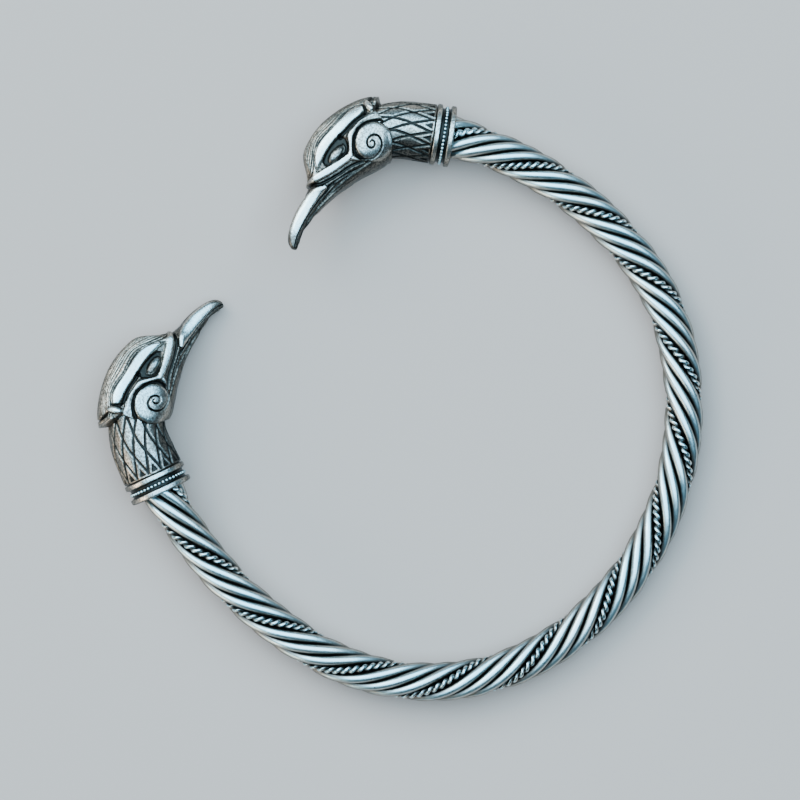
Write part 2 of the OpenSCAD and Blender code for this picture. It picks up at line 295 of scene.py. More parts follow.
def maths(tree, operation, a, b, clamp=False):
    settings = {"operation": operation, "use_clamp": clamp}
    return node(tree, "ShaderNodeMath", settings, i0=a, i1=b).outputs[0]


def noise(tree, place, scale, detail, rough=0.55):
    return node(tree, "ShaderNodeTexNoise", Vector=place, Scale=scale, Detail=detail,
                Roughness=rough).outputs["Fac"]


def remap(tree, value, low, high, to_low=0.0, to_high=1.0):
    return node(tree, "ShaderNodeMapRange", {"interpolation_type": "SMOOTHSTEP"},
                i0=value, i1=low, i2=high, i3=to_low, i4=to_high).outputs[0]


def mix(tree, factor, a, b):
    return node(tree, "ShaderNodeMix", {"data_type": "RGBA"}, i0=factor, i6=a, i7=b).outputs[2]


def tarnish_and_shade_group():
    """How bright the metal looks: the mask of wear and painted shade, broken up by pits and
    blotches.
    """
    tree, got, out = new_group(
        "tarnish_and_shade",
        [("Place", VECTOR, (0, 0, 0)), ("Worn", FLOAT, 1.0), ("Pits", FLOAT, 0.3),
         ("Blotches", FLOAT, 0.2)],
        [("Bright", FLOAT)])
    place = got.outputs["Place"]
    worn = got.outputs["Worn"]
    # Pits keep their tarnish longest where the metal is least rubbed
    pits = remap(tree, noise(tree, place, 4.2, 3.0, 0.7), 0.40, 0.56, 1.0, 0.0)
    kept = maths(tree, "MULTIPLY", got.outputs["Pits"], maths(tree, "SUBTRACT", 1.15, worn))
    blotches = remap(tree, noise(tree, place, 0.9, 3.0, 0.6), 0.35, 0.7, 1.0, 0.0)
    pitted = maths(tree, "MULTIPLY", pits, kept)
    worn = maths(tree, "MULTIPLY", worn, maths(tree, "SUBTRACT", 1.0, pitted))
    blotched = maths(tree, "MULTIPLY", blotches, got.outputs["Blotches"])
    bright = maths(tree, "SUBTRACT", worn, blotched, clamp=True)
    tree.links.new(bright, out.inputs["Bright"])
    return tree


# Colours of the rubbed silver and of the grey under it, cold and warm, and of the tarnish. The warm
# ones also give the painted warm tint of flanks and sides, and the grey and tarnish their painted
# shade.
SILVER_COLD = (0.41, 0.75, 0.89, 1)
SILVER_WARM = (0.97, 0.87, 0.76, 1)
GREY_COLD = (0.130, 0.140, 0.143, 1)
GREY_WARM = (0.20, 0.182, 0.155, 1)
TARNISH_BLACK = (0.016, 0.019, 0.019, 1)


def silver_group():
    """Colour and roughness of antiqued silver from how bright it is, by wear and painted shade, and
    how warm, by its tone and a painted warm side light.
    """
    tree, got, out = new_group(
        "antiqued_silver",
        [("Place", VECTOR, (0, 0, 0)), ("Bright", FLOAT, 1.0), ("Warmth", FLOAT, 0.0),
         ("Polish", FLOAT, 0.5)],
        [("Color", COLOR), ("Roughness", FLOAT)])
    drift = remap(tree, noise(tree, got.outputs["Place"], 0.25, 2.0, 0.5), 0.3, 0.7, -0.15, 0.15)
    warm = maths(tree, "ADD", got.outputs["Warmth"], drift, clamp=True)
    bright = got.outputs["Bright"]
    silver = mix(tree, warm, SILVER_COLD, SILVER_WARM)
    grey = mix(tree, warm, GREY_COLD, GREY_WARM)
    under = mix(tree, remap(tree, bright, 0.0, 0.5), TARNISH_BLACK, grey)
    colour = mix(tree, remap(tree, bright, 0.45, 1.0), under, silver)
    fine = remap(tree, noise(tree, got.outputs["Place"], 3.0, 3.0, 0.6), 0.3, 0.7, -0.04, 0.04)
    smooth = maths(tree, "SUBTRACT", 0.50, maths(tree, "MULTIPLY", got.outputs["Polish"], 0.40))
    dull = maths(tree, "MULTIPLY", maths(tree, "SUBTRACT", 1.0, bright), 0.16)
    rough = maths(tree, "ADD", maths(tree, "ADD", smooth, fine), dull)
    tree.links.new(colour, out.inputs["Color"])
    tree.links.new(rough, out.inputs["Roughness"])
    return tree


def surface_group():
    """Height of the metal's skin: grains of the casting, and fine scratches."""
    tree, got, out = new_group(
        "metal_skin",
        [("Place", VECTOR, (0, 0, 0)), ("Grain", FLOAT, 0.5), ("Scratches", FLOAT, 0.5)],
        [("Height", FLOAT)])
    place = got.outputs["Place"]
    grain = noise(tree, place, 5.5, 3.0, 0.65)
    stretched = node(tree, "ShaderNodeMapping", Vector=place, Rotation=(0.3, 0.5, 0.9),
                     Scale=(1.0, 14.0, 6.0)).outputs[0]
    scratches = noise(tree, stretched, 1.1, 2.0, 0.7)
    height = maths(tree, "ADD", maths(tree, "MULTIPLY", grain, got.outputs["Grain"]),
                   maths(tree, "MULTIPLY", scratches, got.outputs["Scratches"]))
    tree.links.new(height, out.inputs["Height"])
    return tree


TARNISH_AND_SHADE = tarnish_and_shade_group()
SILVER = silver_group()
SKIN = surface_group()


def silver_finish(name, pits, blotches, polish, grain, scratches, relief):
    """An antiqued silver finish that follows the masks of its piece: wear with painted shade, and
    warmth with a painted warm side light.
    """
    material = bpy.data.materials.new(name)
    material.use_nodes = True
    tree = material.node_tree
    shader = tree.nodes["Principled BSDF"]
    shader.inputs["Metallic"].default_value = 1.0
    # Places in millimetres
    place = node(tree, "ShaderNodeVectorMath", {"operation": "SCALE"},
                 Vector=node(tree, "ShaderNodeTexCoord").outputs["Object"], Scale=1000.0).outputs[0]
    worn = node(tree, "ShaderNodeAttribute", {"attribute_name": "worn"}).outputs["Fac"]
    warmth = node(tree, "ShaderNodeAttribute", {"attribute_name": "warmth"}).outputs["Fac"]
    tarnish_and_shade = node(tree, "ShaderNodeGroup", {"node_tree": TARNISH_AND_SHADE}, Place=place, Worn=worn,
                   Pits=pits, Blotches=blotches)
    silver = node(tree, "ShaderNodeGroup", {"node_tree": SILVER}, Place=place,
                  Bright=tarnish_and_shade.outputs["Bright"], Warmth=warmth, Polish=polish)
    skin = node(tree, "ShaderNodeGroup", {"node_tree": SKIN}, Place=place, Grain=grain,
                Scratches=scratches)
    bump = node(tree, "ShaderNodeBump", Strength=1.0, Distance=relief * MM,
                Height=skin.outputs["Height"])
    tree.links.new(silver.outputs["Color"], shader.inputs["Base Color"])
    tree.links.new(silver.outputs["Roughness"], shader.inputs["Roughness"])
    tree.links.new(bump.outputs["Normal"], shader.inputs["Normal"])
    return material


CAST_SILVER = silver_finish("cast_silver", pits=0.95, blotches=0.08, polish=0.60, grain=0.9,
                            scratches=0.2, relief=0.022)
SILVER_WIRE = silver_finish("silver_wire", pits=0.02, blotches=0.06, polish=0.49, grain=0.25,
                            scratches=0.35, relief=0.004)
ROPE_WIRE = silver_finish("rope_wire", pits=0.10, blotches=0.06, polish=0.65, grain=0.4,
                          scratches=0.4, relief=0.008)
DARK_CORE = silver_finish("dark_core", pits=0.3, blotches=0.3, polish=0.2, grain=0.9,
                          scratches=0.2, relief=0.02)


# ---- Wires of the bar ----
# The wires run from the cup of one collar to the cup of the other
FROM, TO = -SEAT_L, BAR_LEN + SEAT_L


def wire_frame(d, r, phase):
    """A wire's middle, and the directions out of the bar and round it, at lengths along it."""
    mid = wire_mid(d, r, phase)
    ahead = unit(wire_mid(d + 0.01, r, phase) - wire_mid(d - 0.01, r, phase))
    out = unit(mid - beside(d, 0, 0))
    out = unit(out - ahead * np.sum(out * ahead, -1, keepdims=True))
    return mid, out, np.cross(ahead, out)


def worn_outside(points, d, top, bright_to, dark_from):
    """How bright a wire is rubbed, from how deep its points lie under the bar's outside, top."""
    deep = top - np.linalg.norm(points - beside(d, 0, 0), axis=-1)
    return 1 - fade(bright_to, dark_from, deep)


def plain_wire(i):
    """One of the smooth wires, which lie in two groups between the roped ones."""
    sides, rings = 16, 380
    group = 90 if i <= SIDE_WIRES else 270
    phase = group + ((i - 1) % SIDE_WIRES - 1) * PLAIN_STEP
    bm = rod(sides, rings)
    co = np.array([v.co for v in bm.verts])
    d = FROM + (TO - FROM) * co[:, 2]
    mid, out, round_it = wire_frame(d, WIRE_R, phase)
    facing = out * co[:, :1] + round_it * co[:, 1:2]
    points = mid + PLAIN_D / 2 * facing
    worn = worn_outside(points, d, WIRE_R + PLAIN_D / 2, 0.03, 0.60)
    # Steep flanks of the wire get painted shade and a painted warm side light; least sets how dark
    # the shade goes
    masks = painted_flank_shade(worn, warmth=0.05, facing=facing[:, 2], least=0.40)
    set_places(bm, lay_down(points))
    name = "plain_wire_%d" % i
    finish_piece(bm, "silver_" + name, SILVER_WIRE, [name], masks)


# Length of a rope's grain along it, the thickness of its two strands, and how far they lie out
GRAIN_STEP = 1.06
STRAND_R = 0.28
STRAND_OUT = 0.22


def rope_wire(i):
    """Two thin wires twisted together, each seen as a row of slanting grains."""
    sides, rings = 10, 1180
    phase = 180 * (i - 1)
    steps = np.linspace(FROM, TO, 4000)
    lengths = np.linalg.norm(np.diff(wire_mid(steps, WIRE_R, phase), axis=0), axis=1)
    run = np.concatenate([[0], np.cumsum(lengths)])
    bm = bmesh.new()
    masks = {"worn": [], "warmth": []}
    places = []
    for ply in (0, 1):
        strand = rod(sides, rings)
        co = np.array([v.co for v in strand.verts])
        d = FROM + (TO - FROM) * co[:, 2]
        mid, out, round_it = wire_frame(d, WIRE_R, phase)
        a = -math.pi * np.interp(d, steps, run) / GRAIN_STEP + math.pi * ply
        lean = np.stack([np.cos(a), np.sin(a)], -1)
        facing = out * co[:, :1] + round_it * co[:, 1:2]
        points = mid + STRAND_OUT * (out * lean[:, :1] + round_it * lean[:, 1:]) + STRAND_R * facing
        worn = worn_outside(points, d, WIRE_R + ROPE_D / 2, 0.08, 0.46)
        # Steep flanks of the strands get painted shade and a painted warm side light
        got = painted_flank_shade(worn, warmth=0.0, facing=facing[:, 2], least=0.75)
        for key in masks:
            masks[key].append(got[key])
        places.append(points)
        strand_mesh = bpy.data.meshes.new("strand")
        strand.to_mesh(strand_mesh)
        strand.free()
        bm.from_mesh(strand_mesh)
        bpy.data.meshes.remove(strand_mesh)
    set_places(bm, lay_down(np.concatenate(places)))
    name = "rope_wire_%d" % i
    masks = {key: np.concatenate(values) for key, values in masks.items()}
    finish_piece(bm, "twisted_" + name, ROPE_WIRE, [name], masks)


for number in range(1, 2 * SIDE_WIRES + 1):
    plain_wire(number)
for number in (1, 2):
    rope_wire(number)

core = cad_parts["core_wire"]
for slot in core.material_slots:
    slot.material = DARK_CORE

# ---- The casting: collar, neck and head, made once and put on both ends ----
# Stations of the head from the neck to the beak's tip: outer edge along and across, inner
# edge along and across, half the thickness
HEAD_STATIONS = np.array([
    (7.60, 3.02, 5.90, -4.20, 3.50), (8.50, 3.24, 6.60, -4.45, 3.64),
    (9.10, 3.33, 6.95, -4.57, 3.72), (9.51, 3.35, 7.25, -4.67, 3.77),
    (10.65, 3.38, 7.78, -5.25, 3.97), (12.18, 2.74, 8.91, -6.16, 4.05),
    (13.81, 1.63, 10.30, -7.19, 3.89), (15.21, 0.35, 11.60, -8.35, 3.60),
    (16.49, -1.20, 12.73, -9.47, 3.24), (17.49, -3.17, 13.61, -10.52, 2.84),
    (17.99, -5.31, 14.38, -11.39, 2.43), (17.24, -7.42, 14.86, -12.10, 2.11),
    (17.03, -8.96, 15.34, -12.79, 1.82), (17.48, -10.90, 15.77, -13.61, 1.58),
    (18.11, -12.76, 16.24, -14.51, 1.34), (18.37, -14.75, 16.55, -15.48, 1.05),
    (18.15, -15.96, 16.68, -16.17, 0.77), (17.48, -16.60, 16.78, -16.65, 0.53)])
NECK_FROM = 2.35
NECK_STATIONS = np.array([
    (NECK_FROM, 3.72, NECK_FROM, -3.72, 3.72), (3.4, 3.70, 3.4, -3.71, 3.70),
    (4.6, 3.66, 4.6, -3.70, 3.66), (5.9, 3.57, 5.9, -3.70, 3.60), (7.3, 3.33, 6.8, -3.80, 3.54),
    (8.6, 2.93, 7.3, -3.95, 3.48), (9.8, 2.47, 7.8, -4.15, 3.42), (10.9, 2.00, 8.3, -4.35, 3.30)])
# How square the head's oval section is, with 1 for a true oval
SQUARE = 0.88


def through(table, u):
    """A table's rows joined by a smooth curve, read at row numbers u."""
    last = len(table) - 1
    i = np.clip(np.floor(u).astype(int), 0, last - 1)
    t = (u - i)[:, None]
    p0, p1, p2, p3 = (table[np.clip(i + k, 0, last)] for k in (-1, 0, 1, 2))
    return 0.5 * (2 * p1 + (p2 - p0) * t + (2 * p0 - 5 * p1 + 4 * p2 - p3) * t**2
                  + (3 * p1 - p0 - 3 * p2 + p3) * t**3)


def even_rows(table, count):
    """Row numbers spaced evenly by the lengths run along both edges of the table's curve."""
    u = np.linspace(0, len(table) - 1, 2000)
    edge = through(table, u)
    step = (np.linalg.norm(np.diff(edge[:, :2], axis=0), axis=1)
            + np.linalg.norm(np.diff(edge[:, 2:4], axis=0), axis=1))
    gone = np.concatenate([[0], np.cumsum(step)])
    return np.interp(np.linspace(0, gone[-1], count), gone, u)


def oval(rows, angle, square):
    """Points on the ovals of rows at angles round them, 0 at the outer edge."""
    outer, inner = rows[..., 0:2], rows[..., 2:4]
    u = np.sign(np.cos(angle)) * np.abs(np.cos(angle)) ** square
    v = np.sign(np.sin(angle)) * np.abs(np.sin(angle)) ** square
    flat = (outer + inner) / 2 + (outer - inner) / 2 * u[..., None]
    return np.concatenate([flat, (rows[..., 4] * v)[..., None]], -1)


def grid_normals(grid):
    """Outward directions of a closed tube of rings."""
    round_it = np.roll(grid, -1, 1) - np.roll(grid, 1, 1)
    along = np.gradient(grid, axis=0)
    return unit(np.cross(round_it, along))


def smooth_line(points, steps=6):
    """A smooth line through points, with steps straight pieces from one to the next."""
    table = np.array(points, float)
    return through(table, np.linspace(0, len(table) - 1, (len(table) - 1) * steps + 1))


def from_line(x, y, line):
    """Distance from a line, and the same distance signed, positive on the line's left.

    Then the line's third column and the length run along it, both at the nearest place."""
    best = np.full(x.shape, 1e9)
    signed, extra, gone = np.zeros_like(x), np.zeros_like(x), np.zeros_like(x)
    run = 0.0
    for (ax, ay, aw), (bx, by, bw) in zip(line, line[1:]):
        dx, dy = bx - ax, by - ay
        size = math.hypot(dx, dy)
        t = np.clip(((x - ax) * dx + (y - ay) * dy) / size**2, 0, 1)
        away = np.hypot(x - ax - t * dx, y - ay - t * dy)
        near = away < best - 1e-6
        best = np.where(near, away, best)
        side = np.sign(dx * (y - ay) - dy * (x - ax))
        signed = np.where(near, side * away, signed)
        extra = np.where(near, aw + t * (bw - aw), extra)
        gone = np.where(near, run + t * size, gone)
        run += size
    return best, signed, extra, gone


def in_shape(x, y, corners):
    """Depth of points inside a closed shape, negative outside."""
    line = [(cx, cy, 0) for cx, cy in corners] + [(corners[0][0], corners[0][1], 0)]
    inside = np.zeros(x.shape, bool)
    for (ax, ay, _), (bx, by, _) in zip(line, line[1:]):
        crosses = (ay > y) != (by > y)
        at = ax + (y - ay) * (bx - ax) / np.where(by == ay, 1e-9, by - ay)
        inside ^= crosses & (x < at)
    away = from_line(x, y, line)[0]
    return np.where(inside, away, -away)


def swell(depth, edge):
    """Rounded shoulder: 0 at the edge of a raised form, 1 at depth edge and beyond."""
    c = np.clip(depth / edge, 0, 1)
    return np.sqrt(1 - (1 - c) ** 2)


def groove(away, width):
    """1 along the middle of a cut line, 0 beyond its half width."""
    return 1 - fade(0.25 * width, width, away)


# Lines of the relief in casting millimetres: along the neck, outward, half width
BROW = smooth_line([(11.78, 1.0, 0.42), (12.24, 0.62, 0.60), (12.85, 0.02, 0.65),
                    (13.5, -0.87, 0.65), (14.15, -1.86, 0.67), (14.75, -2.76, 0.69),
                    (15.35, -3.72, 0.70), (15.84, -4.73, 0.66), (16.08, -5.7, 0.54),
                    (16.12, -6.5, 0.38), (16.06, -7.1, 0.17)])
KNOB = smooth_line([(10.62, 1.12, 0.38), (10.90, 1.45, 0.48), (11.22, 1.82, 0.42)], steps=4)
BROW_GROOVE = smooth_line([(11.12, 0.78, 0.08), (11.3, 0.55, 0.18), (11.6, 0.10, 0.25),
                           (12.15, -0.45, 0.25), (12.85, -1.35, 0.25), (13.4, -2.25, 0.27),
                           (13.95, -3.0, 0.35)], steps=4)
BEHIND_BROW = smooth_line([(11.25, 0.5, 0.16), (11.42, 1.05, 0.17), (11.75, 1.6, 0.14)], steps=4)
STRIP = smooth_line([(10.2, 0.35, 0.22), (10.9, -0.12, 0.18), (11.65, -0.75, 0.18),
                     (12.2, -1.6, 0.20), (12.6, -2.45, 0.34), (12.6, -3.1, 0.32),
                     (12.45, -3.9, 0.26), (12.3, -4.6, 0.26), (12.28, -5.2, 0.36)])
CHEEK = smooth_line([(12.2, -5.2, 0.38), (12.6, -5.65, 0.50), (13.1, -6.1, 0.52),
                     (14.0, -6.95, 0.53), (15.0, -7.72, 0.55), (16.0, -8.45, 0.49),
                     (16.9, -9.0, 0.32)])
TAIL = smooth_line([(10.9, -5.62, 0.08), (11.5, -5.55, 0.22), (12.2, -5.45, 0.40)], steps=4)
JAW = smooth_line([(7.2, -3.5, 0.6), (7.7, -4.7, 0.75), (8.9, -6.0, 0.80), (10.3, -7.2, 0.70),
                   (11.6, -8.2, 0.55), (12.6, -9.2, 0.46), (13.5, -10.3, 0.40), (14.3, -11.5, 0.34),
                   (15.2, -13.0, 0.28), (16.0, -14.6, 0.24), (16.65, -16.4, 0.20)])
JAW_EDGE = smooth_line([(11.2, -7.75, 0.10), (12.2, -8.65, 0.16), (13.3, -9.85, 0.18),
                        (14.3, -11.2, 0.18), (15.3, -12.9, 0.16), (16.1, -14.5, 0.14),
                        (16.6, -15.9, 0.12)])
BILL = smooth_line([(14.75, -9.60, 0.42), (15.25, -10.0, 0.66), (15.95, -10.7, 0.92),
                    (16.75, -12.1, 1.0), (17.35, -13.9, 0.95), (17.65, -15.3, 0.75),
                    (17.5, -16.4, 0.5)])
GAPE = smooth_line([(10.3, -5.75, 0.14), (11.0, -6.05, 0.24), (12.0, -6.72, 0.26),
                    (13.4, -7.95, 0.26), (14.8, -8.9, 0.26), (15.8, -9.3, 0.22),
                    (17.2, -9.35, 0.16)])
LIP = smooth_line([(11.2, -6.9, 0.14), (12.4, -7.7, 0.17), (13.6, -8.75, 0.17),
                   (14.2, -9.3, 0.14)], steps=4)
BILL_GROOVE = smooth_line([(13.6, -8.95, 0.16), (14.15, -9.6, 0.24), (14.75, -10.5, 0.25),
                           (15.45, -11.75, 0.24), (16.2, -13.2, 0.22), (16.8, -14.5, 0.20),
                           (17.1, -15.7, 0.17), (17.2, -16.5, 0.10)])
CURL = smooth_line([(8.0, -0.55, 0.14), (8.6, -0.36, 0.19), (9.3, -0.30, 0.20), (10.2, -0.45, 0.20),
                    (11.15, -1.0, 0.20), (11.8, -1.8, 0.19), (12.03, -2.8, 0.19),
                    (12.03, -3.8, 0.19), (11.75, -4.75, 0.18), (11.1, -5.3, 0.17),
                    (10.2, -5.38, 0.15), (9.3, -4.98, 0.14), (8.72, -4.2, 0.13), (8.55, -3.4, 0.13),
                    (8.78, -2.7, 0.13), (9.35, -2.25, 0.13), (10.0, -2.42, 0.13),
                    (10.42, -3.0, 0.13), (10.38, -3.6, 0.12), (10.0, -3.93, 0.11),
                    (9.6, -3.85, 0.11), (9.44, -3.5, 0.10), (9.56, -3.12, 0.10),
                    (9.88, -2.98, 0.09), (10.06, -3.25, 0.06)])
NAPE = smooth_line([(8.85, 4.6, 0), (9.05, 3.3, 0), (9.42, 2.4, 0), (9.88, 1.75, 0), (9.85, 1.2, 0),
                    (9.08, 0.5, 0), (8.22, -0.35, 0), (7.50, -1.25, 0), (7.1, -2.3, 0),
                    (6.98, -3.2, 0), (6.7, -4.6, 0), (6.2, -6.0, 0)], steps=4)
RIM = smooth_line([(9.6, 3.9, 0.34), (9.85, 3.0, 0.38), (10.2, 2.35, 0.30)], steps=4)
HOLLOW = smooth_line([(10.5, 3.3, 0.12), (10.75, 2.75, 0.26), (10.95, 2.35, 0.16)], steps=4)
PLATE = [(8.3, -0.25), (9.3, 0.50), (9.95, 1.05), (10.35, 0.85), (10.8, 0.45), (11.3, 0.10),
         (11.6, -0.35), (12.05, -0.95), (12.6, -1.75), (13.05, -2.5), (13.2, -3.0), (12.8, -3.3),
         (12.3, -3.2), (11.9, -1.7), (10.6, -0.45), (9.3, 0.0)]
SOCKET = [(13.15, -3.1), (13.9, -2.75), (14.5, -3.35), (15.1, -4.4), (15.5, -5.5), (15.65, -6.4),
          (15.3, -6.95), (14.4, -6.6), (13.5, -6.05), (12.85, -5.4), (12.62, -4.7), (12.72, -4.0)]
LID = smooth_line([(13.5, -3.85, 0.07), (13.1, -4.35, 0.10), (13.15, -4.95, 0.11),
                   (13.7, -5.65, 0.11), (14.4, -6.25, 0.10), (15.0, -6.6, 0.06)], steps=4)
EYE_AT = (14.05, -5.25)
EYE_TURN = -57
EYE_LONG = 1.42
EYE_WIDE = 0.70
# Heights over the head's plain form, and how far the lid and the eye stand up in their socket
GROUND = -0.36
SOCKET_DEEP = -0.66
LID_HIGH = 0.30
EYE_HIGH = 0.58
REAR_DEEP = -1.1
# The round cheek, its middle and radius
DISC_AT = (9.55, -3.0)
DISC_R = 2.5
# Feather lines from the crown's middle to the brow, their depth, and half the crown's width
FEATHERS = 8
FEATHER_DEEP = 0.19
CROWN_HALF = 3.4


def head_relief(x, y, z, angle, lean):
    """Height of the cast relief over the head's plain form, and how worn and warm it is, with
    painted shade on the jaw and a painted highlight on the eye.

    The points x, y, z lie at an angle round the head, 0 at its crown. The rear of the relief
    lies further forward by lean."""
    x = x - lean * (1 - fade(12.0, 15.5, x))
    half = np.abs(z)
    _, brow_side, brow_wide, brow_run = from_line(x, y, BROW)
    outward = np.where(brow_side > 0, brow_side, 0.0)
    # Crown: the form outside the brow, combed with fine feather lines over to the other side
    crown = fade(-0.12, 0.05, outward - brow_wide) * fade(-9.3, -8.3, y)
    around = np.abs((angle + math.pi) % (2 * math.pi) - math.pi)
    # How far round the head the crown reaches in each ring, evened out over rings beside it
    reach = np.where(crown > 0.5, around, 0).max(1)
    beside_it, least_reach = 12, 0.3
    rings = 2 * beside_it + 1
    reach = np.convolve(np.pad(reach, beside_it, "edge"), np.ones(rings) / rings, "valid")
    share = 1 - around / np.maximum(reach[:, None], least_reach)
    comb = FEATHERS * share + 0.2 * np.sin(1.3 * brow_run + half)
    row = np.floor(comb)
    strand = np.abs(comb - row - 0.5) * 2
    cut = fade(0.34, 0.80, strand) * fade(-0.6, 0.3, np.sin(0.55 * brow_run + 2.4 * row) + 0.5)
    height = GROUND - crown * (GROUND + FEATHER_DEEP * cut)
    worn = 0.52 + crown * (0.28 - 0.76 * cut)
    worn = worn * (1 - 0.5 * groove(np.abs(outward - brow_wide - 0.12), 0.12))
    warmth = 0.30 + 0.50 * crown * fade(0.4, 1.8, outward + 0.5 * (CROWN_HALF - half))

    def lift(depth, edge, top, bright, warm=0.1):
        """Raises a form to a height, from its depth inside an outline with a rounded edge."""
        nonlocal height, worn, warmth
        share = swell(depth, edge)
        level = GROUND + (top - GROUND) * share
        over = fade(-0.02, 0.06, level - height) * (depth > 0)
        worn = worn + (bright * fade(-0.1, 0.7, share) - worn) * over
        warmth = warmth + (warm - warmth) * over
        height = np.maximum(height, level)

    def raise_line(line, edge, top, bright, warm=0.1, tilt=0.0):
        """Raises a band along a line, higher on the line's left by tilt."""
        away, side, wide, _ = from_line(x, y, line)
        lift(wide - away, edge, top + tilt * np.clip(side / wide, -1, 1), bright, warm)

    from_curl = np.hypot(x - DISC_AT[0], y - DISC_AT[1])
    lift(in_shape(x, y, PLATE), edge=0.16, top=-0.10, bright=0.80 - 0.35 * fade(10.6, 11.6, x))
    lift(DISC_R - from_curl, edge=0.5, top=-0.02 + 0.12 * (1 - (from_curl / DISC_R) ** 2),
         bright=0.87)
    # The jaw and its edge, on the head's inner side, are kept darker and browner: painted shade
    raise_line(JAW, edge=0.45, top=-0.12, bright=0.56, warm=0.35)
    raise_line(JAW_EDGE, edge=0.18, top=-0.02, bright=0.62, warm=0.3)
    raise_line(STRIP, edge=0.24, top=-0.02, bright=0.96)
    raise_line(TAIL, edge=0.30, top=-0.04, bright=0.96)
    raise_line(CHEEK, edge=0.30, top=0.05, bright=1.0)
    raise_line(BROW, edge=0.32, top=0.08, bright=1.0, tilt=0.15)
    raise_line(KNOB, edge=0.36, top=0.28, bright=1.0, warm=0.0, tilt=0.12)
    raise_line(BILL, edge=0.60, top=0.04, bright=1.0 - 0.35 * fade(-14.4, -16.2, y), tilt=0.10)
    raise_line(RIM, edge=0.34, top=0.10, bright=0.80, warm=0.4)

    def carve(line, depth, dark=1.0):
        """Cuts a groove along a line, with tarnish left in it."""
        nonlocal height, worn
        away, _, wide, _ = from_line(x, y, line)
        height = height - depth * groove(away, wide)
        worn = np.clip(worn, 0, 1) * (1 - dark * groove(away, wide * 1.1))

    socket = fade(-0.05, 0.22, in_shape(x, y, SOCKET))
    height = height + (SOCKET_DEEP - height) * socket
    worn = worn + (0.11 - worn) * socket
    warmth = warmth + (0.6 - warmth) * socket
    away, _, wide, _ = from_line(x, y, LID)
    lid = swell(wide - away, 0.10)
    height = np.maximum(height, SOCKET_DEEP + LID_HIGH * lid)
    worn = np.maximum(worn, 0.38 * lid)
    turn = math.radians(EYE_TURN)
    along = (x - EYE_AT[0]) * math.cos(turn) + (y - EYE_AT[1]) * math.sin(turn)
    across = -(x - EYE_AT[0]) * math.sin(turn) + (y - EYE_AT[1]) * math.cos(turn)
    eye = np.clip(1 - (along / EYE_LONG) ** 2 - (across / EYE_WIDE) ** 2, 0, 1) ** 0.5
    height = np.maximum(height, SOCKET_DEEP + EYE_HIGH * eye)
    ball = fade(0.10, 0.45, eye)
    # The raised eyeball is rubbed brighter than its socket, with a painted highlight shifted
    # towards one end of it
    worn = np.maximum(worn, 0.50 * ball + 0.30 * fade(0.60, 1.0, eye + 0.15 * along))
    warmth = warmth * (1 - 0.9 * ball)
    carve(BROW_GROOVE, depth=0.30)
    carve(BEHIND_BROW, depth=0.20)
    carve(GAPE, depth=0.24)
    carve(LIP, depth=0.08, dark=0.6)
    carve(BILL_GROOVE, depth=0.24)
    carve(CURL, depth=0.28)
    carve(HOLLOW, depth=0.30)
    # Rear edge, where the head stands over the neck
    behind = from_line(x, y, NAPE)[1]
    on_head = fade(0.0, 1.0, behind / (0.28 + 0.45 * fade(1.7, 2.8, y)))
    height = height + (REAR_DEEP - height) * (1 - on_head)
    worn = worn * fade(0.02, 0.2, behind)
    return height, np.clip(worn, 0, 1), np.clip(warmth, 0, 1)


def cast_head(lean, longer):
    """The rod of the head, its order and grid of points, and its masks."""
    sides, rings = 300, 310
    bm = rod(sides, rings)
    order = rod_grid(bm, sides)
    angle = np.broadcast_to(np.arange(sides) * 2 * math.pi / sides, order.shape)
    last = len(HEAD_STATIONS) - 1
    u = even_rows(HEAD_STATIONS, rings + 1)
    table = through(HEAD_STATIONS, u)
    plain = oval(np.broadcast_to(table[:, None, :], order.shape + (5,)), angle, SQUARE)
    height, worn, warmth = head_relief(plain[..., 0], plain[..., 1], plain[..., 2], angle, lean)
    thin = np.clip(table[:, 4] / 1.6, 0.25, 1)[:, None]
    grid = plain + grid_normals(plain) * (height * thin)[..., None]
    tip = fade(0.0, 1.0, (u - (last - 0.25)) / 0.25)[:, None]
    centre = grid.mean(1, keepdims=True)
    grid = centre + (grid - centre) * (1 - 0.55 * tip**2)[..., None]
    # A longer beak is drawn out beyond its base
    edges = through(HEAD_STATIONS, np.array([BEAK_FROM, last], float))[:, :4]
    root, end = edges.reshape(2, 2, 2).mean(1)
    way = np.append(unit(end - root), 0)
    grid = grid + longer * np.clip((u - BEAK_FROM) / (last - BEAK_FROM), 0, 1)[:, None, None] * way
    return bm, order, grid, worn, warmth


# The collar's two ridges: their middles along it, half width, rounded edge and height
RIDGE_AT = (0.225, 1.975)
RIDGE_HALF = 0.375
RIDGE_ROUND = 0.20
RIDGE_HIGH = 0.45
# The row of granules between them: place along the collar, depth, number and size
BAND_AT = 1.05
BEADS_IN = 0.38
BEADS = 44
BEAD_R = 0.21


def collar_radius(s):
    """Radius of the collar at lengths from the casting's start, lower in its beaded band."""
    ridges = np.maximum(*[swell(RIDGE_HALF - np.abs(s - at), RIDGE_ROUND) for at in RIDGE_AT])
    return COLLAR_D / 2 - RIDGE_HIGH + RIDGE_HIGH * ridges


# Engraving of the neck: lozenges round it, their length and place, the lines' half width and depth
LOZENGES = 14
LOZENGE_L = 5.0
LOZENGE_AT = 5.25
LINE_W = 0.21
LINE_DEEP = 0.16
# Radius that they are spaced out on, where the lines start, and the tips and slant of the darts
ENGRAVED_R = 3.6
LINES_FROM = 2.50
DARTS_FROM = 2.62
DARTS_TO = 3.60
DART_SLANT = 0.42


